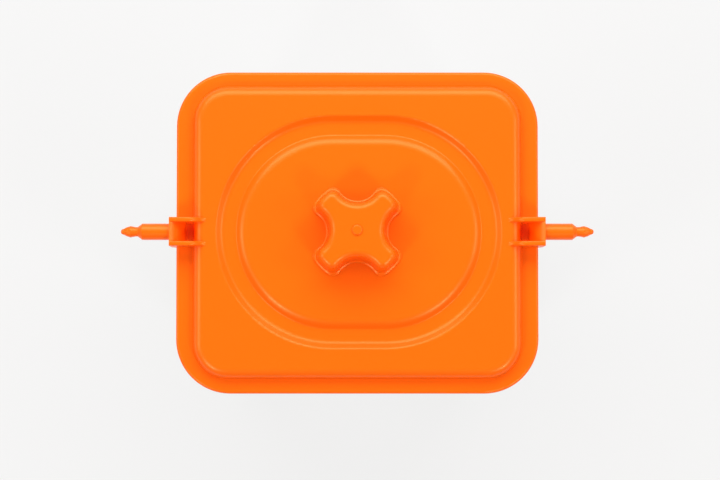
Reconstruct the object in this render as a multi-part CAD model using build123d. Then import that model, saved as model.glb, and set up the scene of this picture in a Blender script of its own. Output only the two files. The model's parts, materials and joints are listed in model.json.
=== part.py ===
from build123d import *
import os

# A hand-turned resin wash station: a solvent tub, a lid with a turning knob,
# and a basket that the knob spins on a turntable in the tub.
# Millimetres, +Z up. X runs along the two side pins of the lid.
# The origin is on the ground, midway between the pins and midway front to back.

# ---- Driving heights
FOOT_HEIGHT = 3.0
TUB_TOP_Z = 146.5
FLANGE_TOP_Z = 151.5
PLATEAU_TOP_Z = 158.5
SKIRT_FOOT_Z = 132.0
RUN_GAP = 0.3                 # between pieces that move past each other
TURN_CLEARANCE = 0.05         # radial, between a shaft and its bush

# ---- Lid outline (half sizes and corner radii)
RIM_HALF = (100.0, 88.9)
RIM_CORNER = 30.0
PLATEAU_HALF = (90.6, 80.9)
PLATEAU_CORNER = 19.5
PLATEAU_DRAFT = 1.5
PLATEAU_EDGE_FILLET = 5.4
LIP_FILLET = 1.6
LID_WALL = 2.6
SKIRT_WALL = 2.2

# ---- Stadium groove in the lid
GROOVE_CENTRE_X = 0.9         # it sits a little to the right of the middle
GROOVE_OUTER_HALF = (78.8, 64.2)
GROOVE_INNER_HALF = (64.0, 49.8)
GROOVE_DEPTH = 3.0
GROOVE_WALL_RUN = 3.6
GROOVE_OUTER_TOP_FILLET = 2.0
GROOVE_OUTER_FOOT_FILLET = 3.6
GROOVE_INNER_TOP_FILLET = 6.0
GROOVE_INNER_FOOT_FILLET = 1.2

# ---- Side arms and pins of the lid
ARM_HALF_WIDTH = 7.9
ARM_RIB = 2.7
ARM_ROOT_X = 83.0
ARM_LEVEL_X = 93.0
ARM_TOP_Z = 164.5
ARM_FOOT_Z = 143.0
ARM_EDGE_FILLET = 0.9
END_PLATE_X = 103.0
RAMP_FOOT_X = 94.5
PIN_AXIS_Z = 158.5
PIN_RADIUS = 4.5
PIN_SHOULDER_X = 118.0
PIN_NECK_X = 120.5
PIN_NECK_RADIUS = 2.6
BARB_START_X = 121.8
BARB_PEAK_X = 124.4
BARB_RADIUS = 3.15
BARB_TAPER_X = 126.6
BARB_TAPER_RADIUS = 2.5
PIN_TIP_X = 129.8
PIN_TIP_RADIUS = 1.6

# ---- Tub
TUB_TOP_HALF = (90.0, 79.0)
TUB_FOOT_HALF = (84.0, 73.0)
TUB_TOP_CORNER = 24.0
TUB_FOOT_CORNER = 20.0
TUB_WALL = 2.4
TUB_FLOOR = 3.0
TUB_RIM_HALF = (95.5, 84.4)
TUB_RIM_CORNER = 27.0
TUB_RIM_THICKNESS = 3.5
GRIP_RIB_LENGTH = 64.0
GRIP_RIB_HEIGHT = 2.4
GRIP_RIB_PROUD = 2.2
GRIP_RIB_LEVELS = (112.0, 119.0, 126.0)
FOOT_RADIUS = 8.0
FOOT_AT = (62.0, 51.0)

# ---- Pivot in the tub floor
TUB_FLOOR_Z = FOOT_HEIGHT + TUB_FLOOR
PIVOT_BOSS_RADIUS = 9.0
PIVOT_BOSS_TOP_Z = 14.0
PIVOT_RADIUS = 3.0
PIVOT_FOOT_Z = 7.5
PIVOT_TOP_Z = 20.4
PIVOT_WASHER_THICKNESS = 0.8

# ---- Turntable
TURNTABLE_RADIUS = 58.0
TURNTABLE_Z = 18.0
TURNTABLE_THICKNESS = 3.0
TURNTABLE_HUB_RADIUS = 10.0
PIVOT_BUSH_RADIUS = 5.0
DRAIN_RADIUS = 6.0
DRAIN_CIRCLE = 28.0
DRAIN_COUNT = 6
LUG_RADIUS = 3.0
LUG_CIRCLE = 47.0
LUG_COUNT = 4

# ---- Basket
BASKET_RADIUS = 66.0
BASKET_WALL = 2.2
BASKET_FLOOR = 3.0
BASKET_FLOOR_Z = TURNTABLE_Z + TURNTABLE_THICKNESS + RUN_GAP
BASKET_TOP_Z = 122.0
BASKET_RIM_RADIUS = 70.0
BASKET_RIM_HEIGHT = 7.0
SLOT_COUNT = 24
SLOT_WIDTH = 6.0
SLOT_HEIGHT = 34.0
SLOT_LEVELS = (49.0, 91.0)
FLOOR_HOLE_RADIUS = 3.0
FLOOR_HOLE_RINGS = ((12.0, 6), (24.0, 12), (36.0, 18), (57.0, 28))

# ---- Drive bridge across the basket
BRIDGE_LENGTH = 2 * BASKET_RIM_RADIUS
BRIDGE_WIDTH = 14.0
BRIDGE_THICKNESS = 4.0
BRIDGE_HUB_RADIUS = 12.0
BRIDGE_HUB_FOOT_Z = 115.0
BRIDGE_HUB_TOP_Z = 130.0
BRIDGE_SCREW_X = 66.6
BRIDGE_SCREW_RADIUS = 1.5
BRIDGE_SCREW_FOOT_Z = 116.0
BRIDGE_HEAD_RADIUS = 2.9
BRIDGE_HEAD_HEIGHT = 2.0

# ---- Knob, shaft and bush
KNOB_FOOT_Z = PLATEAU_TOP_Z + RUN_GAP
KNOB_TOP_Z = 178.5
KNOB_FOOT_PLATE = 1.2
KNOB_WALL = 2.4
KNOB_EDGE_FILLET = 3.6
# Each outline: lobe radius, radius of the side bites, circle of their centres, corner radius.
KNOB_PLATE_OUTLINE = (28.3, 11.3, 28.3, 4.4)
KNOB_LOW_OUTLINE = (27.0, 12.5, 28.5, 4.6)
KNOB_HIGH_OUTLINE = (25.6, 13.6, 27.7, 4.6)
HOLLOW_LOW_OUTLINE = (27.0 - KNOB_WALL, 12.5 + KNOB_WALL, 28.5, 2.2)
HOLLOW_HIGH_OUTLINE = (25.6 - KNOB_WALL, 13.6 + KNOB_WALL, 27.9, 2.2)
KNOB_FOOT_FLARE = ((0.9, 0.0), (0.26, 0.26), (0.0, 0.9))    # outward, upward
KNOB_CAVITY_TOP_Z = 174.0
KNOB_BOSS_RADIUS = 8.0
SHAFT_RADIUS = 4.0
SHAFT_FOOT_Z = 117.0
SHAFT_TOP_Z = 170.0
SHAFT_FLAT = 3.2
BUSH_RADIUS = 6.5
BUSH_FLANGE_RADIUS = 10.0
BUSH_FLANGE_TOP_Z = 160.2
BUSH_FOOT_Z = 150.2
SEAL_RADIUS = 1.06
SEAL_POCKET_RADIUS = SHAFT_RADIUS + TURN_CLEARANCE + 2 * SEAL_RADIUS
NUT_THICKNESS = 4.6
NUT_FLAT_RADIUS = 10.0
THRUST_WASHER_THICKNESS = 1.0
SHAFT_WASHER_THICKNESS = 0.9
CLIP_THICKNESS = 0.9
CLIP_RADIUS = 6.6
CLIP_GROOVE_RADIUS = 3.2
CROSS_PIN_RADIUS = 1.25
CROSS_PIN_LENGTH = 18.0
CROSS_PIN_Z = 123.0
KNOB_SCREW_RADIUS = 1.5
KNOB_SCREW_HEAD_RADIUS = 2.7
KNOB_SCREW_HEAD_Z = 172.5
KNOB_SCREW_HEAD_HEIGHT = 3.0
KNOB_SCREW_FOOT_Z = 158.0
CAP_RADIUS = 2.9
CAP_PROUD = 1.0

LID_UNDERSIDE_Z = PLATEAU_TOP_Z - LID_WALL
THRUST_WASHER_Z = BUSH_FLANGE_TOP_Z + RUN_GAP
KNOB_BOSS_FOOT_Z = THRUST_WASHER_Z + THRUST_WASHER_THICKNESS
SHAFT_WASHER_Z = BUSH_FOOT_Z - RUN_GAP - SHAFT_WASHER_THICKNESS
CLIP_Z = SHAFT_WASHER_Z - CLIP_THICKNESS


def slab(half, corner, low, high):
    """A plate with rounded corners, from height low to height high."""
    outline = RectangleRounded(2 * half[0], 2 * half[1], corner)
    return Pos(0, 0, low) * extrude(outline, high - low)


def tapered_slab(low_half, low_corner, low, high_half, high_corner, high):
    """A rounded block whose outline changes evenly with height."""
    low_face = Pos(0, 0, low) * RectangleRounded(2 * low_half[0], 2 * low_half[1], low_corner)
    high_face = Pos(0, 0, high) * RectangleRounded(2 * high_half[0], 2 * high_half[1], high_corner)
    return loft([low_face, high_face], ruled=True)


def rod(radius, low, high):
    """An upright round bar on the Z axis."""
    return Pos(0, 0, low) * Cylinder(radius, high - low, align=(Align.CENTER, Align.CENTER, Align.MIN))


def ring(outer, inner, low, high):
    """An upright tube on the Z axis."""
    return rod(outer, low, high) - rod(inner, low - 1, high + 1)


def inset(half, amount):
    """Half sizes moved in by amount on every side."""
    return (half[0] - amount, half[1] - amount)


def stadium(half, height):
    """A flat stadium outline about the groove's middle: straight sides, half-round ends."""
    return Pos(GROOVE_CENTRE_X, 0, height) * SlotOverall(2 * half[0], 2 * half[1])


def edges_at(shape, height, reach=1e9):
    """The edges of shape that lie flat at one height, within reach of the Z axis."""
    chosen = []
    for edge in shape.edges():
        box = edge.bounding_box()
        flat = abs(box.min.Z - height) < 0.01 and abs(box.max.Z - height) < 0.01
        if flat and max(abs(box.min.X), abs(box.max.X)) < reach:
            chosen.append(edge)
    return chosen


def stadium_edges(shape, half, height):
    """The edges of shape that follow one stadium outline: each reaches its full Y."""
    chosen = []
    for edge in edges_at(shape, height):
        box = edge.bounding_box()
        reach = max(abs(box.min.Y), abs(box.max.Y))
        if abs(reach - half[1]) < 0.05:
            chosen.append(edge)
    return chosen


# ---- Lid

def lid_groove():
    """The stadium ring that is cut from the lid's top."""
    floor_z = PLATEAU_TOP_Z - GROOVE_DEPTH
    outer = loft([stadium(inset(GROOVE_OUTER_HALF, GROOVE_WALL_RUN), floor_z),
                  stadium(GROOVE_OUTER_HALF, PLATEAU_TOP_Z)], ruled=True)
    inner = loft([stadium(inset(GROOVE_INNER_HALF, -GROOVE_WALL_RUN), floor_z),
                  stadium(GROOVE_INNER_HALF, PLATEAU_TOP_Z)], ruled=True)
    return outer - inner


def lid_plateau():
    """The raised middle of the lid, with its drafted wall, round edge and groove."""
    top_half = inset(PLATEAU_HALF, PLATEAU_DRAFT)
    block = tapered_slab(PLATEAU_HALF, PLATEAU_CORNER, FLANGE_TOP_Z - 0.5,
                         top_half, PLATEAU_CORNER - PLATEAU_DRAFT, PLATEAU_TOP_Z)
    block = fillet(edges_at(block, PLATEAU_TOP_Z), PLATEAU_EDGE_FILLET)
    block = block - lid_groove()
    floor_z = PLATEAU_TOP_Z - GROOVE_DEPTH
    outer_foot = inset(GROOVE_OUTER_HALF, GROOVE_WALL_RUN)
    inner_foot = inset(GROOVE_INNER_HALF, -GROOVE_WALL_RUN)
    block = fillet(stadium_edges(block, GROOVE_OUTER_HALF, PLATEAU_TOP_Z), GROOVE_OUTER_TOP_FILLET)
    block = fillet(stadium_edges(block, outer_foot, floor_z), GROOVE_OUTER_FOOT_FILLET)
    block = fillet(stadium_edges(block, GROOVE_INNER_HALF, PLATEAU_TOP_Z), GROOVE_INNER_TOP_FILLET)
    return fillet(stadium_edges(block, inner_foot, floor_z), GROOVE_INNER_FOOT_FILLET)


def lid_cavity():
    """The hollow under the plateau, stepped down below the groove."""
    hollow = slab(inset(PLATEAU_HALF, LID_WALL), PLATEAU_CORNER - LID_WALL,
                  FLANGE_TOP_Z - LID_WALL - 1, LID_UNDERSIDE_Z)
    step_z = LID_UNDERSIDE_Z - GROOVE_DEPTH
    outer = extrude(stadium(GROOVE_OUTER_HALF, step_z), GROOVE_DEPTH + 1)
    inner = extrude(stadium(GROOVE_INNER_HALF, step_z), GROOVE_DEPTH + 1)
    return hollow - (outer - inner)


def arm_profile():
    """Side view of one rib of the right arm, in X and Z."""
    with BuildSketch(Plane.XZ) as side:
        with BuildLine():
            start = (ARM_ROOT_X, PLATEAU_TOP_Z)
            crest = (ARM_LEVEL_X, ARM_TOP_Z)
            Spline(start, crest, tangents=((1, 0.25), (1, 0)))
            Polyline(crest, (END_PLATE_X, ARM_TOP_Z), (END_PLATE_X, ARM_FOOT_Z),
                     (RIM_HALF[0] - 1, SKIRT_FOOT_Z + 1), (RIM_HALF[0] - 1, FLANGE_TOP_Z - 1),
                     (ARM_ROOT_X, PLATEAU_TOP_Z - 1.5), start)
        make_face()
    return side.sketch


def ramp_profile():
    """Side view of the web between the two ribs: a flat foot, then a rounded climb."""
    foot = (PLATEAU_HALF[0] - 0.5, FLANGE_TOP_Z)
    start = (RAMP_FOOT_X, FLANGE_TOP_Z)
    crest = (END_PLATE_X, ARM_TOP_Z)
    with BuildSketch(Plane.XZ) as side:
        with BuildLine():
            Spline(start, crest, tangents=((0.35, 1), (1, 0.45)))
            Polyline(crest, (END_PLATE_X, ARM_FOOT_Z), (RIM_HALF[0] - 1, SKIRT_FOOT_Z + 1),
                     (RIM_HALF[0] - 1, FLANGE_TOP_Z - 1), (foot[0], FLANGE_TOP_Z - 1), foot, start)
        make_face()
    return side.sketch


def side_pin():
    """The right pin, turned about its own axis: shaft, neck and barbed tip."""
    with BuildSketch(Plane.XZ) as side:
        with BuildLine():
            outline = [(END_PLATE_X - 1, PIN_RADIUS), (PIN_SHOULDER_X, PIN_RADIUS),
                       (PIN_NECK_X, PIN_NECK_RADIUS), (BARB_START_X, PIN_NECK_RADIUS),
                       (BARB_PEAK_X, BARB_RADIUS), (BARB_TAPER_X, BARB_TAPER_RADIUS),
                       (PIN_TIP_X - PIN_TIP_RADIUS, PIN_TIP_RADIUS)]
            Polyline((END_PLATE_X - 1, 0), *outline)
            RadiusArc(outline[-1], (PIN_TIP_X, 0), PIN_TIP_RADIUS)
            Line((PIN_TIP_X, 0), (END_PLATE_X - 1, 0))
        make_face()
    turned = revolve(side.sketch, Axis.X)
    return Pos(0, 0, PIN_AXIS_Z) * turned


def side_arm():
    """The right arm: two ribs, the web between them and the pin."""
    rib = extrude(arm_profile(), ARM_RIB / 2, both=True)
    crest_edges = []
    for edge in rib.edges():
        size = edge.bounding_box().size
        if edge.center().Z > PLATEAU_TOP_Z + 1 and size.X > 1 and size.Y < 0.1:
            crest_edges.append(edge)
    rib = fillet(crest_edges, ARM_EDGE_FILLET)
    rib_y = ARM_HALF_WIDTH - ARM_RIB / 2
    arm = Pos(0, rib_y, 0) * rib + Pos(0, -rib_y, 0) * rib
    arm = arm + extrude(ramp_profile(), ARM_HALF_WIDTH - ARM_RIB / 2, both=True)
    return arm + side_pin()


def lid_shell():
    """The whole lid moulding: skirt, flange, plateau, arms and pins."""
    skirt = slab(RIM_HALF, RIM_CORNER, SKIRT_FOOT_Z, FLANGE_TOP_Z)
    skirt = fillet(edges_at(skirt, FLANGE_TOP_Z), LIP_FILLET)
    skirt = skirt - slab(inset(RIM_HALF, SKIRT_WALL), RIM_CORNER - SKIRT_WALL,
                         SKIRT_FOOT_Z - 1, FLANGE_TOP_Z - LID_WALL)
    shell = skirt + lid_plateau() - lid_cavity()
    arm = side_arm()
    shell = shell + arm + arm.mirror(Plane.YZ)
    return shell - rod(BUSH_RADIUS, SKIRT_FOOT_Z, PLATEAU_TOP_Z + 1)


def lid_gasket():
    """The soft ring under the flange, just above the tub's rim."""
    low = TUB_TOP_Z + RUN_GAP
    high = FLANGE_TOP_Z - LID_WALL
    outer = slab(inset(TUB_RIM_HALF, 0.5), TUB_RIM_CORNER - 0.5, low, high)
    return outer - slab(inset(TUB_TOP_HALF, 1.0), TUB_TOP_CORNER - 1.0, low - 1, high + 1)


def shaft_bush():
    """The flanged bush that the shaft turns in, with a pocket for the seal."""
    body = rod(BUSH_RADIUS, BUSH_FOOT_Z, BUSH_FLANGE_TOP_Z)
    body = body + rod(BUSH_FLANGE_RADIUS, PLATEAU_TOP_Z, BUSH_FLANGE_TOP_Z)
    body = body - rod(SHAFT_RADIUS + TURN_CLEARANCE, BUSH_FOOT_Z - 1, BUSH_FLANGE_TOP_Z + 1)
    return body - rod(SEAL_POCKET_RADIUS, BUSH_FLANGE_TOP_Z - 2 * SEAL_RADIUS, BUSH_FLANGE_TOP_Z + 1)


def shaft_seal():
    """The round rubber ring in the bush's pocket."""
    centre_radius = SHAFT_RADIUS + TURN_CLEARANCE + SEAL_RADIUS
    return Pos(0, 0, BUSH_FLANGE_TOP_Z - SEAL_RADIUS) * Torus(centre_radius, SEAL_RADIUS)


def bush_nut():
    """The hexagonal nut that clamps the bush from below."""
    outline = RegularPolygon(NUT_FLAT_RADIUS, 6, major_radius=False) - Circle(BUSH_RADIUS)
    return Pos(0, 0, LID_UNDERSIDE_Z - NUT_THICKNESS) * extrude(outline, NUT_THICKNESS)


# ---- Knob and shaft

def knob_outline(sizes, height):
    """A four-lobed outline: a circle with a round bite taken from each side."""
    lobe, bite, bite_circle, corner = sizes
    outline = Circle(lobe) - PolarLocations(bite_circle, 4) * Circle(bite)
    outline = fillet(outline.vertices(), corner)
    return Pos(0, 0, height) * outline


def knob_flare():
    """The small concave flare where the knob's wall meets its foot plate."""
    foot = KNOB_FOOT_Z + KNOB_FOOT_PLATE - 0.01
    lobe, bite, bite_circle, corner = KNOB_LOW_OUTLINE
    levels = []
    for out, up in KNOB_FOOT_FLARE:
        levels.append(knob_outline((lobe + out, bite - out, bite_circle, corner + out), foot + up))
    return loft(levels[:2], ruled=True) + loft(levels[1:], ruled=True)


def hand_knob():
    """The hollow four-lobed knob, its foot plate and its inner boss."""
    plate = extrude(knob_outline(KNOB_PLATE_OUTLINE, KNOB_FOOT_Z), KNOB_FOOT_PLATE)
    plate = fillet(edges_at(plate, KNOB_FOOT_Z + KNOB_FOOT_PLATE), 0.6)
    wall_low = knob_outline(KNOB_LOW_OUTLINE, KNOB_FOOT_Z + 0.5)
    wall_high = knob_outline(KNOB_HIGH_OUTLINE, KNOB_TOP_Z)
    body = loft([wall_low, wall_high], ruled=True)
    body = fillet(edges_at(body, KNOB_TOP_Z), KNOB_EDGE_FILLET)
    hollow_low = knob_outline(HOLLOW_LOW_OUTLINE, KNOB_FOOT_Z - 1)
    hollow_high = knob_outline(HOLLOW_HIGH_OUTLINE, KNOB_CAVITY_TOP_Z)
    hollow = loft([hollow_low, hollow_high], ruled=True)
    hollow = hollow - rod(KNOB_BOSS_RADIUS, KNOB_BOSS_FOOT_Z, KNOB_TOP_Z)
    knob = plate + body + knob_flare() - hollow
    knob = knob - shaft_section(KNOB_BOSS_FOOT_Z - 1, SHAFT_TOP_Z)
    knob = knob - rod(KNOB_SCREW_RADIUS + 0.1, SHAFT_TOP_Z - 1, KNOB_SCREW_HEAD_Z + 1)
    return knob - rod(CAP_RADIUS, KNOB_SCREW_HEAD_Z, KNOB_TOP_Z + 1)


def knob_cap():
    """The small round plug that covers the knob's screw and stands just proud."""
    low = KNOB_SCREW_HEAD_Z + KNOB_SCREW_HEAD_HEIGHT + 0.2
    cap = rod(CAP_RADIUS, low, KNOB_TOP_Z + CAP_PROUD)
    return fillet(edges_at(cap, KNOB_TOP_Z + CAP_PROUD), CAP_PROUD - 0.1)


def knob_screw():
    """The cap-head screw that holds the knob to the shaft."""
    head_top = KNOB_SCREW_HEAD_Z + KNOB_SCREW_HEAD_HEIGHT
    screw = rod(KNOB_SCREW_RADIUS, KNOB_SCREW_FOOT_Z, KNOB_SCREW_HEAD_Z)
    screw = screw + rod(KNOB_SCREW_HEAD_RADIUS, KNOB_SCREW_HEAD_Z, head_top)
    socket = RegularPolygon(1.25, 6, major_radius=False)
    return screw - Pos(0, 0, head_top - 1.6) * extrude(socket, 2)


def shaft_section(low, high):
    """A length of the shaft's keyed end: round, with two flats."""
    outline = Circle(SHAFT_RADIUS) & Rectangle(3 * SHAFT_RADIUS, 2 * SHAFT_FLAT)
    return Pos(0, 0, low) * extrude(outline, high - low)


def drive_shaft():
    """The steel shaft: keyed top, clip groove, cross hole and tapped end."""
    shaft = rod(SHAFT_RADIUS, SHAFT_FOOT_Z, KNOB_BOSS_FOOT_Z)
    shaft = shaft + shaft_section(KNOB_BOSS_FOOT_Z, SHAFT_TOP_Z)
    shaft = chamfer(edges_at(shaft, SHAFT_FOOT_Z), 0.8)
    shaft = shaft - ring(SHAFT_RADIUS + 1, CLIP_GROOVE_RADIUS, CLIP_Z, CLIP_Z + CLIP_THICKNESS)
    shaft = shaft - rod(KNOB_SCREW_RADIUS, KNOB_SCREW_FOOT_Z, SHAFT_TOP_Z + 1)
    return shaft - cross_pin()


def cross_pin():
    """The pin through the shaft's foot that turns the drive bridge."""
    return Pos(0, 0, CROSS_PIN_Z) * Rot(0, 90, 0) * Cylinder(CROSS_PIN_RADIUS, CROSS_PIN_LENGTH)


def thrust_washer():
    """The plastic washer between the knob's boss and the bush."""
    return ring(9.0, SHAFT_RADIUS + 0.1, THRUST_WASHER_Z, KNOB_BOSS_FOOT_Z)


def shaft_washer():
    """The steel washer under the bush."""
    return ring(7.5, SHAFT_RADIUS + 0.1, SHAFT_WASHER_Z, SHAFT_WASHER_Z + SHAFT_WASHER_THICKNESS)


def retaining_clip():
    """The open spring clip in the shaft's groove."""
    clip = ring(CLIP_RADIUS, CLIP_GROOVE_RADIUS, CLIP_Z, CLIP_Z + CLIP_THICKNESS)
    mouth = Box(2 * CLIP_RADIUS, 2 * CLIP_GROOVE_RADIUS - 1.2, 2 * CLIP_THICKNESS)
    return clip - Pos(CLIP_RADIUS + 0.8, 0, CLIP_Z) * mouth


# ---- Tub

def wash_tub():
    """The tapered solvent tub with its rim, finger ribs and pivot boss."""
    outer = tapered_slab(TUB_FOOT_HALF, TUB_FOOT_CORNER, FOOT_HEIGHT,
                         TUB_TOP_HALF, TUB_TOP_CORNER, TUB_TOP_Z)
    outer = fillet(edges_at(outer, FOOT_HEIGHT), 5.0)
    rim = slab(TUB_RIM_HALF, TUB_RIM_CORNER, TUB_TOP_Z - TUB_RIM_THICKNESS, TUB_TOP_Z)
    rim = fillet(edges_at(rim, TUB_TOP_Z - TUB_RIM_THICKNESS), 1.5)
    inner = tapered_slab(inset(TUB_FOOT_HALF, TUB_WALL), TUB_FOOT_CORNER - TUB_WALL, TUB_FLOOR_Z,
                         inset(TUB_TOP_HALF, TUB_WALL), TUB_TOP_CORNER - TUB_WALL, TUB_TOP_Z)
    inner = fillet(edges_at(inner, TUB_FLOOR_Z), 4.0)
    tub = outer + rim
    for level in GRIP_RIB_LEVELS:
        tub = tub + grip_ribs(level)
    tub = tub - inner
    tub = tub + rod(PIVOT_BOSS_RADIUS, TUB_FLOOR_Z - 1, PIVOT_BOSS_TOP_Z)
    return tub - rod(PIVOT_RADIUS, PIVOT_FOOT_Z, PIVOT_BOSS_TOP_Z + 1)


def grip_ribs(level):
    """One finger rib on each long side of the tub, as a bar through the tub."""
    share = (level - FOOT_HEIGHT) / (TUB_TOP_Z - FOOT_HEIGHT)
    wall_y = TUB_FOOT_HALF[1] + share * (TUB_TOP_HALF[1] - TUB_FOOT_HALF[1])
    half_y = wall_y + GRIP_RIB_PROUD
    bar = Box(GRIP_RIB_LENGTH, 2 * half_y, GRIP_RIB_HEIGHT)
    return Pos(0, 0, level) * fillet(bar.edges().filter_by(Axis.Z), GRIP_RIB_PROUD - 0.2)


def tub_feet():
    """Four rubber feet under the corners of the tub."""
    feet = []
    for x in (-FOOT_AT[0], FOOT_AT[0]):
        for y in (-FOOT_AT[1], FOOT_AT[1]):
            foot = rod(FOOT_RADIUS, 0, FOOT_HEIGHT)
            foot = chamfer(edges_at(foot, 0), 0.8)
            feet.append(Pos(x, y, 0) * foot)
    return Compound(children=feet)


def pivot_pin():
    """The steel pin in the tub's floor, with a chamfered top."""
    pin = rod(PIVOT_RADIUS, PIVOT_FOOT_Z, PIVOT_TOP_Z)
    return chamfer(edges_at(pin, PIVOT_TOP_Z), 0.8)


def pivot_washer():
    """The washer that carries the turntable on the pivot boss."""
    return ring(7.5, PIVOT_RADIUS + 0.02, PIVOT_BOSS_TOP_Z, PIVOT_BOSS_TOP_Z + PIVOT_WASHER_THICKNESS)


# ---- Turntable and basket

def turntable():
    """The disc under the basket, with its hub, drain holes and drive lugs."""
    top = TURNTABLE_Z + TURNTABLE_THICKNESS
    disc = fillet(rod(TURNTABLE_RADIUS, TURNTABLE_Z, top).edges().filter_by(GeomType.CIRCLE), 1.0)
    hub_foot = PIVOT_BOSS_TOP_Z + PIVOT_WASHER_THICKNESS + RUN_GAP
    table = disc + rod(TURNTABLE_HUB_RADIUS, hub_foot, TURNTABLE_Z + 1)
    drain = rod(DRAIN_RADIUS, TURNTABLE_Z - 1, top + 1)
    table = table - PolarLocations(DRAIN_CIRCLE, DRAIN_COUNT) * drain
    lug = rod(LUG_RADIUS, top - 0.5, BASKET_FLOOR_Z + BASKET_FLOOR)
    table = table + PolarLocations(LUG_CIRCLE, LUG_COUNT, 45) * lug
    return table - rod(PIVOT_BUSH_RADIUS, hub_foot - 1, top + 1)


def pivot_bush():
    """The plain bush in the turntable's hub, running on the pivot pin."""
    hub_foot = PIVOT_BOSS_TOP_Z + PIVOT_WASHER_THICKNESS + RUN_GAP
    return ring(PIVOT_BUSH_RADIUS, PIVOT_RADIUS + TURN_CLEARANCE, hub_foot, TURNTABLE_Z + TURNTABLE_THICKNESS)


def basket_slots():
    """The slots through the basket's wall, in staggered rows."""
    half_step = 180 / SLOT_COUNT
    slot = Box(4 * BASKET_WALL, SLOT_WIDTH, SLOT_HEIGHT)
    slot = chamfer(slot.edges().filter_by(Axis.X), 1.5)
    slots = []
    for row, level in enumerate(SLOT_LEVELS):
        for place in PolarLocations(BASKET_RADIUS, SLOT_COUNT, half_step * (1 + row % 2)):
            slots.append(Pos(0, 0, level) * place * slot)
    return slots


def basket():
    """The basket's round slotted wall, with a thick rim that takes the bridge screws."""
    top = BASKET_TOP_Z
    foot = BASKET_FLOOR_Z + BASKET_FLOOR
    wall = rod(BASKET_RADIUS, foot, top) + rod(BASKET_RIM_RADIUS, top - BASKET_RIM_HEIGHT, top)
    wall = fillet(edges_at(wall, top - BASKET_RIM_HEIGHT, BASKET_RIM_RADIUS + 1), 1.0)
    wall = wall - rod(BASKET_RADIUS - BASKET_WALL, foot - 1, top + 1)
    wall = wall - basket_slots()
    for x in (-BRIDGE_SCREW_X, BRIDGE_SCREW_X):
        wall = wall - Pos(x, 0, 0) * rod(BRIDGE_SCREW_RADIUS, BRIDGE_SCREW_FOOT_Z, top + 1)
    return wall


def basket_floor():
    """The basket's welded floor disc, with drain holes and holes for the drive lugs."""
    floor = fillet(edges_at(rod(BASKET_RADIUS, BASKET_FLOOR_Z, BASKET_FLOOR_Z + BASKET_FLOOR),
                            BASKET_FLOOR_Z), 1.8)
    hole = rod(FLOOR_HOLE_RADIUS, BASKET_FLOOR_Z - 1, BASKET_FLOOR_Z + BASKET_FLOOR + 1)
    for circle, count in FLOOR_HOLE_RINGS:
        floor = floor - PolarLocations(circle, count) * hole
    lug_hole = rod(LUG_RADIUS + 0.4, BASKET_FLOOR_Z - 1, BASKET_FLOOR_Z + BASKET_FLOOR + 1)
    return floor - PolarLocations(LUG_CIRCLE, LUG_COUNT, 45) * lug_hole


def drive_bridge():
    """The bar across the basket: its carrying handle and its drive socket."""
    bar = Box(BRIDGE_LENGTH, BRIDGE_WIDTH, BRIDGE_THICKNESS)
    bar = fillet(bar.edges().filter_by(Axis.Z), BRIDGE_WIDTH / 2 - 0.1)
    bar = fillet(bar.faces().sort_by(Axis.Z)[-1].edges(), 1.2)
    bridge = Pos(0, 0, BASKET_TOP_Z + BRIDGE_THICKNESS / 2) * bar
    hub = rod(BRIDGE_HUB_RADIUS, BRIDGE_HUB_FOOT_Z, BRIDGE_HUB_TOP_Z)
    hub = fillet(edges_at(hub, BRIDGE_HUB_TOP_Z) + edges_at(hub, BRIDGE_HUB_FOOT_Z), 1.0)
    bridge = bridge + hub
    bridge = bridge - rod(SHAFT_RADIUS + 0.4, BRIDGE_HUB_FOOT_Z - 1, BRIDGE_HUB_TOP_Z + 1)
    slot_foot = CROSS_PIN_Z - CROSS_PIN_RADIUS - 0.4
    slot_height = BRIDGE_HUB_TOP_Z + 1 - slot_foot
    slot = Box(CROSS_PIN_LENGTH + 1, 2 * CROSS_PIN_RADIUS + 0.8, slot_height)
    bridge = bridge - Pos(0, 0, slot_foot + slot_height / 2) * slot
    for x in (-BRIDGE_SCREW_X, BRIDGE_SCREW_X):
        bridge = bridge - Pos(x, 0, 0) * rod(BRIDGE_SCREW_RADIUS, BASKET_TOP_Z - 1, BASKET_TOP_Z + 10)
    return bridge


def bridge_screws():
    """The two pan-head screws that hold the bridge to the basket."""
    head_z = BASKET_TOP_Z + BRIDGE_THICKNESS
    head_top = head_z + BRIDGE_HEAD_HEIGHT
    screws = []
    for x in (-BRIDGE_SCREW_X, BRIDGE_SCREW_X):
        screw = rod(BRIDGE_SCREW_RADIUS, BRIDGE_SCREW_FOOT_Z, head_z)
        head = fillet(edges_at(rod(BRIDGE_HEAD_RADIUS, head_z, head_top), head_top), 1.4)
        recess = Box(4.4, 1.0, 2.6) + Box(1.0, 4.4, 2.6)
        screws.append(Pos(x, 0, 0) * (screw + head - Pos(0, 0, head_top) * recess))
    return Compound(children=screws)


NODES = {
    "wash_tub": wash_tub,
    "tub_feet": tub_feet,
    "pivot_pin": pivot_pin,
    "pivot_washer": pivot_washer,
    "turntable": turntable,
    "pivot_bush": pivot_bush,
    "basket": basket,
    "basket_floor": basket_floor,
    "drive_bridge": drive_bridge,
    "bridge_screws": bridge_screws,
    "lid_shell": lid_shell,
    "lid_gasket": lid_gasket,
    "shaft_bush": shaft_bush,
    "bush_nut": bush_nut,
    "shaft_seal": shaft_seal,
    "hand_knob": hand_knob,
    "knob_cap": knob_cap,
    "knob_screw": knob_screw,
    "thrust_washer": thrust_washer,
    "drive_shaft": drive_shaft,
    "shaft_washer": shaft_washer,
    "retaining_clip": retaining_clip,
    "cross_pin": cross_pin,
}

os.makedirs("parts", exist_ok=True)
for name, make in NODES.items():
    export_step(make(), "parts/" + name + ".step")
    print("wrote", name)
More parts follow.
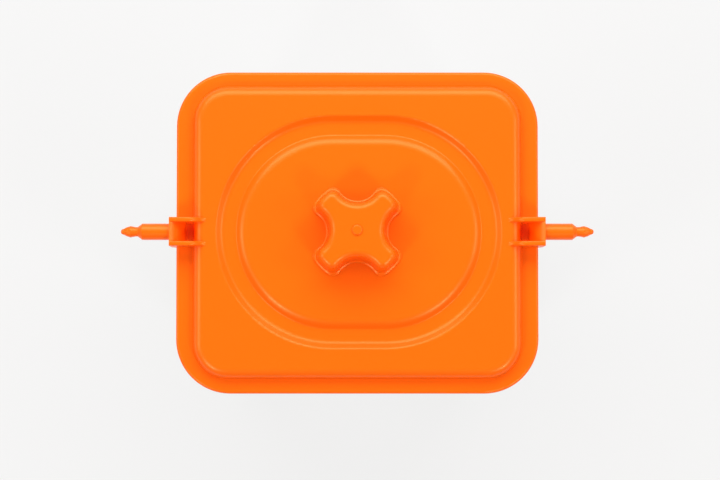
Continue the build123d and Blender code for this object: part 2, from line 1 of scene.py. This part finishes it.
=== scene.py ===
# %% [markdown]
# # A hand-turned resin wash station
#
# This lesson dresses a finished mechanical model. The solid parts and their joints come
# in as a fixed frame, and everything here is about how they look: the moulded plastics,
# the turned metal, the soft rubber, and the small features that a plain solid lacks.
# All sizes are in metres. The lid faces up, and its two side pins lie along X.

# %% Load the frame
import bpy
import bmesh
import json
import math
from mathutils import Matrix, Vector


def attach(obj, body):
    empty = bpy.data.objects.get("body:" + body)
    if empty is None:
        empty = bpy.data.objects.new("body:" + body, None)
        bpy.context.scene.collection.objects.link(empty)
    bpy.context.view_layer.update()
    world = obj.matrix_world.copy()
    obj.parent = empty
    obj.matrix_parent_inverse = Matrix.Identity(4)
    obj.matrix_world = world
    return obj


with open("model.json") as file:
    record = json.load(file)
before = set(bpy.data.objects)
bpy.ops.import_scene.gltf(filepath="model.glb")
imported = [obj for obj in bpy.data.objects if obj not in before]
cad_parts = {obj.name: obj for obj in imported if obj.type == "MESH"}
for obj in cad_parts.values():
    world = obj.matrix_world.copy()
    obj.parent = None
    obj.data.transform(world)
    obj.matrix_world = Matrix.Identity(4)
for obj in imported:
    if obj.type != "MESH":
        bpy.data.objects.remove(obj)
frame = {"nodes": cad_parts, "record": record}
nodes = frame["nodes"]
scene = bpy.context.scene
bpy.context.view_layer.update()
MM = 0.001

# %% [markdown]
# ## Camera
#
# The camera looks down from above and stands very slightly in front of the object, as
# someone leaning over a bench would. A long lens keeps the sides of the tub hidden under
# the lid. The width of the view is chosen at the height of the lid's rim, so the distance
# follows from the lens: distance = lens / sensor width * view width.

# %% Camera
LENS = 108.6
SENSOR = 36
VIEW_WIDTH = 397.6 * MM
RIM_HEIGHT = 151.5 * MM
TILT = math.radians(2.6)
CAMERA_AIM = Vector((1.5 * MM, -4.2 * MM, RIM_HEIGHT))

camera_data = bpy.data.cameras.new("camera")
camera_data.lens = LENS
camera_data.sensor_width = SENSOR
camera = bpy.data.objects.new("camera", camera_data)
distance = LENS / SENSOR * VIEW_WIDTH
camera.location = CAMERA_AIM + distance * Vector((0, -math.sin(TILT), math.cos(TILT)))
camera.rotation_euler = (TILT, 0, 0)
scene.collection.objects.link(camera)
scene.camera = camera
print("camera stands", round(distance, 3), "m from the lid")

# %% [markdown]
# ## Light and floor
#
# This is the almost shadowless light of a product shot. The sky is dim, so that flat
# plastic seen from above keeps its full colour instead of mirroring a pale sky. Most
# light comes in from the sides: one broad lamp behind the object (+Y) that fades towards
# the front, two weaker fills left and right, and two compact lamps in front that put
# small highlights on the rounded front corners. The floor glows like a light table.

# %% Light
scene.view_settings.view_transform = "Standard"
scene.view_settings.look = "None"

WARM_WHITE = (1, 0.995, 0.99, 1)
SKY_STRENGTH = 0.24

world = bpy.data.worlds.new("dim_sky")
world.use_nodes = True
sky = world.node_tree.nodes["Background"]
sky.inputs["Color"].default_value = WARM_WHITE
sky.inputs["Strength"].default_value = SKY_STRENGTH
scene.world = world


def add_lamp(name, azimuth, elevation, distance, size, power):
    """An area lamp that faces the lid. Azimuth 0 is along +X and 90 along +Y, in degrees."""
    data = bpy.data.lights.new(name, "AREA")
    data.shape = "RECTANGLE"
    data.size = size[0]
    data.size_y = size[1]
    data.energy = power
    lamp = bpy.data.objects.new(name, data)
    around = math.radians(azimuth)
    up = math.radians(elevation)
    aim = Vector((0, 0, RIM_HEIGHT))
    away = Vector((math.cos(up) * math.cos(around), math.cos(up) * math.sin(around), math.sin(up)))
    lamp.location = aim + away * distance
    lamp.rotation_euler = away.to_track_quat("Z", "Y").to_euler()
    scene.collection.objects.link(lamp)
    return lamp


SIDE_POWER = 3.3

add_lamp("broad_lamp", 90, 40, 0.9, (1.4, 0.65), 12.8)
for name, azimuth in (("left_fill", 180), ("right_fill", 0)):
    add_lamp(name, azimuth, 34, 1.2, (0.45, 0.45), SIDE_POWER)
for name, azimuth in (("left_lamp", 228), ("right_lamp", 312)):
    add_lamp(name, azimuth, 42, 1.1, (0.2, 0.2), SIDE_POWER)
print("added 5 lamps")

# %% Floor
FLOOR_SIZE = 6
FLOOR_DROP = 0.2 * MM
FLOOR_GREY = (0.12, 0.12, 0.12, 1)
FLOOR_GLOW = 0.755

# The floor lies a hair under the feet, so that the two faces don't share one plane.
bpy.ops.mesh.primitive_plane_add(size=FLOOR_SIZE, location=(0, 0, -FLOOR_DROP))
floor = bpy.context.object
floor.name = "floor"
floor_paint = bpy.data.materials.new("floor_paint")
floor_paint.use_nodes = True
floor_shader = floor_paint.node_tree.nodes["Principled BSDF"]
floor_shader.inputs["Base Color"].default_value = FLOOR_GREY
floor_shader.inputs["Roughness"].default_value = 0.9
floor_shader.inputs["Specular IOR Level"].default_value = 0.1
floor_shader.inputs["Emission Color"].default_value = WARM_WHITE
floor_shader.inputs["Emission Strength"].default_value = FLOOR_GLOW
floor.data.materials.append(floor_paint)
print("laid a floor of", FLOOR_SIZE, "m")

# %% [markdown]
# ## Shader groups
#
# Every plastic part here came out of a mould, so they share one skin: a very fine
# spark-eroded grain, soft blotches of tone from the flow of the melt, and a few light
# scuffs. The group holds that skin once, and each material sets its own colour, depth
# and roughness. The metal parts share a second group, with lines left by the lathe.

# %% A helper that starts a shader group


def new_group(title, inputs, outputs):
    """An empty shader group with named sockets. Inputs map a name to (type, default)."""
    tree = bpy.data.node_groups.new(title, "ShaderNodeTree")
    for name, (kind, default) in inputs.items():
        socket = tree.interface.new_socket(name, in_out="INPUT", socket_type=kind)
        socket.default_value = default
    for name, kind in outputs.items():
        tree.interface.new_socket(name, in_out="OUTPUT", socket_type=kind)
    return tree, tree.nodes.new("NodeGroupInput"), tree.nodes.new("NodeGroupOutput")


# %% Helpers for the nodes inside a group


def noise(tree, where, scale, detail=2.0, stretch=(1, 1, 1)):
    """A noise texture over Object coordinates, stretched by a Mapping node."""
    mapping = tree.nodes.new("ShaderNodeMapping")
    mapping.inputs["Scale"].default_value = stretch
    texture = tree.nodes.new("ShaderNodeTexNoise")
    texture.inputs["Scale"].default_value = scale
    texture.inputs["Detail"].default_value = detail
    tree.links.new(where, mapping.inputs["Vector"])
    tree.links.new(mapping.outputs["Vector"], texture.inputs["Vector"])
    return texture.outputs["Fac"]


def remap(tree, value, low, high, to_low, to_high):
    """A Map Range node: value from low..high becomes to_low..to_high."""
    node = tree.nodes.new("ShaderNodeMapRange")
    ends = {"From Min": low, "From Max": high, "To Min": to_low, "To Max": to_high}
    for name, number in ends.items():
        node.inputs[name].default_value = number
    tree.links.new(value, node.inputs["Value"])
    return node.outputs["Result"]


def math_node(tree, operation, first, second):
    """A Math node. Each operand is a socket or a plain number."""
    node = tree.nodes.new("ShaderNodeMath")
    node.operation = operation
    for socket, operand in zip(node.inputs, (first, second)):
        if isinstance(operand, (int, float)):
            socket.default_value = operand
        else:
            tree.links.new(operand, socket)
    return node.outputs["Value"]


def scaled_colour(tree, colour, factor):
    """A colour multiplied by a grey value."""
    node = tree.nodes.new("ShaderNodeVectorMath")
    node.operation = "SCALE"
    tree.links.new(colour, node.inputs[0])
    tree.links.new(factor, node.inputs["Scale"])
    return node.outputs["Vector"]


# %% The moulded skin group
GRAIN_PER_METRE = 2600
SPECKLE_PER_METRE = 700
SCRATCHES_PER_METRE = 60
FLOW_PER_METRE = 16
SPECKLE_TONE = 0.25           # share of the flow's tone
SPECKLE_ROUGHNESS = 0.035
FLOW_HEIGHT = 0.1             # share of the grain's height
SCRATCH_STRETCH = (1, 14, 3)
PATTERN_OUTPUTS = {"Colour": "NodeSocketColor", "Roughness": "NodeSocketFloat",
                   "Height": "NodeSocketFloat"}

skin, skin_in, skin_out = new_group(
    "moulded_skin",
    {"Colour": ("NodeSocketColor", (0.8, 0.8, 0.8, 1)), "Tone": ("NodeSocketFloat", 0.06),
     "Roughness": ("NodeSocketFloat", 0.4), "Scuffs": ("NodeSocketFloat", 0.15)},
    PATTERN_OUTPUTS)
skin_place = skin.nodes.new("ShaderNodeTexCoord").outputs["Object"]
flow = remap(skin, noise(skin, skin_place, FLOW_PER_METRE, 3.0), 0.3, 0.7, -1, 1)
speckle = remap(skin, noise(skin, skin_place, SPECKLE_PER_METRE, 2.0), 0.35, 0.65, -1, 1)
grain = noise(skin, skin_place, GRAIN_PER_METRE, 2.0)
scratch = noise(skin, skin_place, SCRATCHES_PER_METRE, 4.0, SCRATCH_STRETCH)
scuffed = math_node(skin, "MULTIPLY", remap(skin, scratch, 0.62, 0.72, 0, 1), skin_in.outputs["Scuffs"])
tone = math_node(skin, "MULTIPLY", flow, skin_in.outputs["Tone"])
speckle_share = math_node(skin, "MULTIPLY", skin_in.outputs["Tone"], SPECKLE_TONE)
fine_tone = math_node(skin, "MULTIPLY", speckle, speckle_share)
tone = math_node(skin, "ADD", math_node(skin, "ADD", tone, fine_tone), 1.0)
skin.links.new(scaled_colour(skin, skin_in.outputs["Colour"], tone), skin_out.inputs["Colour"])
fine_rough = math_node(skin, "MULTIPLY", speckle, SPECKLE_ROUGHNESS)
rough = math_node(skin, "ADD", skin_in.outputs["Roughness"], fine_rough)
rough = math_node(skin, "ADD", rough, scuffed)
skin.links.new(rough, skin_out.inputs["Roughness"])
height = math_node(skin, "ADD", grain, math_node(skin, "MULTIPLY", flow, FLOW_HEIGHT))
skin.links.new(height, skin_out.inputs["Height"])
print("group", skin.name, "has", len(skin.nodes), "nodes")

# %% The turned metal group
LATHE_LINES_PER_METRE = 90
LATHE_STRETCH = (1, 1, 40)
SMUDGES_PER_METRE = 120

lathe, lathe_in, lathe_out = new_group(
    "turned_metal",
    {"Colour": ("NodeSocketColor", (0.6, 0.6, 0.6, 1)), "Roughness": ("NodeSocketFloat", 0.3)},
    PATTERN_OUTPUTS)
lathe_place = lathe.nodes.new("ShaderNodeTexCoord").outputs["Object"]
lines = noise(lathe, lathe_place, LATHE_LINES_PER_METRE, 3.0, LATHE_STRETCH)
smudge = noise(lathe, lathe_place, SMUDGES_PER_METRE, 3.0)
shade = remap(lathe, lines, 0.3, 0.7, 0.88, 1.06)
lathe.links.new(scaled_colour(lathe, lathe_in.outputs["Colour"], shade), lathe_out.inputs["Colour"])
smudged = remap(lathe, smudge, 0.35, 0.7, -0.05, 0.12)
rough = math_node(lathe, "ADD", lathe_in.outputs["Roughness"], smudged)
lathe.links.new(rough, lathe_out.inputs["Roughness"])
lathe.links.new(lines, lathe_out.inputs["Height"])
print("group", lathe.name, "has", len(lathe.nodes), "nodes")

# %% [markdown]
# ## Materials
#
# Each material is a Principled shader fed by one of the groups. What is the same all
# over a part, such as how much light passes through the milky tub, is set straight on
# the shader's own sockets.

# %% A helper for materials
GRAIN_DEPTH = 0.03 * MM


def finish(name, group, colour, roughness, bump, fixed=None, **settings):
    """A material whose colour, roughness and bump come from a shader group.

    Settings go to the group's sockets, and fixed goes to the shader's own."""
    material = bpy.data.materials.new(name)
    material.use_nodes = True
    tree = material.node_tree
    shader = tree.nodes["Principled BSDF"]
    pattern = tree.nodes.new("ShaderNodeGroup")
    pattern.node_tree = group
    pattern.inputs["Colour"].default_value = (*colour, 1)
    pattern.inputs["Roughness"].default_value = roughness
    for socket, value in settings.items():
        pattern.inputs[socket].default_value = value
    relief = tree.nodes.new("ShaderNodeBump")
    relief.inputs["Strength"].default_value = bump
    relief.inputs["Distance"].default_value = GRAIN_DEPTH
    tree.links.new(pattern.outputs["Colour"], shader.inputs["Base Color"])
    tree.links.new(pattern.outputs["Roughness"], shader.inputs["Roughness"])
    tree.links.new(pattern.outputs["Height"], relief.inputs["Height"])
    tree.links.new(relief.outputs["Normal"], shader.inputs["Normal"])
    for socket, value in (fixed or {}).items():
        shader.inputs[socket].default_value = value
    return material


# %% Materials
ORANGE_GLINT = (1, 0.6, 0.24, 1)

finishes = {
    "orange_plastic": finish(
        "orange_plastic", skin, (0.98, 0.126, 0.001), 0.33, 0.03, Tone=0.012, Scuffs=0.02,
        fixed={"Specular IOR Level": 0.7, "Specular Tint": ORANGE_GLINT}),
    "tub_plastic": finish(
        "tub_plastic", skin, (0.7, 0.73, 0.725), 0.4, 0.2, Tone=0.03, Scuffs=0.1,
        fixed={"Transmission Weight": 0.18, "IOR": 1.49}),
    "grey_plastic": finish(
        "grey_plastic", skin, (0.055, 0.06, 0.065), 0.48, 0.5, Tone=0.12, Scuffs=0.15),
    "acetal": finish("acetal", skin, (0.82, 0.80, 0.74), 0.38, 0.2, Tone=0.03, Scuffs=0.05),
    "steel": finish("steel", lathe, (0.6, 0.6, 0.61), 0.28, 0.3, fixed={"Metallic": 1.0}),
    "brass": finish("brass", lathe, (0.72, 0.5, 0.2), 0.3, 0.3, fixed={"Metallic": 1.0}),
    "silicone": finish(
        "silicone", skin, (0.5, 0.52, 0.53), 0.55, 0.3, Tone=0.05, Scuffs=0.0,
        fixed={"Sheen Weight": 0.15}),
    "black_rubber": finish(
        "black_rubber", skin, (0.02, 0.02, 0.022), 0.62, 0.5, Tone=0.2, Scuffs=0.1,
        fixed={"Sheen Weight": 0.1}),
}
slot_of = {row["node"]: row["material_slot"] for row in frame["record"]["subparts"]}
for name, node in nodes.items():
    node.data.materials.clear()
    node.data.materials.append(finishes[slot_of[name]])
print("made", len(finishes), "materials")

# %% [markdown]
# ## Level marks
#
# A wash tub carries a scale of short raised lines on its long walls, so that the solvent
# can be topped up by eye. They stand a third of a millimetre proud and are foil stamped
# in dark grey: low bars with soft edges that lean with the wall's draft. Each bar starts
# as a cube, is sized, leaned and moved by bmesh transforms, and all of them get one bevel
# at the end. Every second bar is longer.

# %% Level marks on both long walls
WALL_FOOT_Y = 73 * MM
WALL_TOP_Y = 79 * MM
WALL_FOOT_Z = 3 * MM
WALL_TOP_Z = 146.5 * MM
MARK_LEVELS = [level * MM for level in range(30, 110, 10)]
LONG_MARK = 16 * MM
SHORT_MARK = 10 * MM
MARK_END_X = 58 * MM
MARK_HEIGHT = 1.0 * MM
MARK_DEPTH = 1.2 * MM
MARK_PROUD = 0.35 * MM
MARK_EDGE = 0.25 * MM
wall_lean = math.atan2(WALL_TOP_Y - WALL_FOOT_Y, WALL_TOP_Z - WALL_FOOT_Z)

marks_mesh = bmesh.new()
for side in (-1, 1):
    for count, level in enumerate(MARK_LEVELS):
        length = LONG_MARK if count % 2 == 0 else SHORT_MARK
        wall_y = WALL_FOOT_Y + (level - WALL_FOOT_Z) * math.tan(wall_lean)
        place = Matrix.Translation((side * (length / 2 - MARK_END_X),
                                    side * (wall_y + MARK_PROUD - MARK_DEPTH / 2), level))
        lean = Matrix.Rotation(-side * wall_lean, 4, "X")
        size = Matrix.Diagonal((length, MARK_DEPTH, MARK_HEIGHT, 1))
        bmesh.ops.create_cube(marks_mesh, size=1, matrix=place @ lean @ size)
bmesh.ops.bevel(marks_mesh, geom=marks_mesh.edges[:], offset=MARK_EDGE, offset_type="OFFSET",
                affect="EDGES", segments=2, profile=0.5, material=-1)

# %% Finish the level marks
marks_data = bpy.data.meshes.new("level_marks")
marks_mesh.to_mesh(marks_data)
marks_mesh.free()
level_marks = bpy.data.objects.new("level_marks", marks_data)
scene.collection.objects.link(level_marks)
marks_data.materials.append(finishes["grey_plastic"])
for face in marks_data.polygons:
    face.use_smooth = True
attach(level_marks, "tub")
print("level marks:", 2 * len(MARK_LEVELS), "bars,", len(marks_data.polygons), "faces")
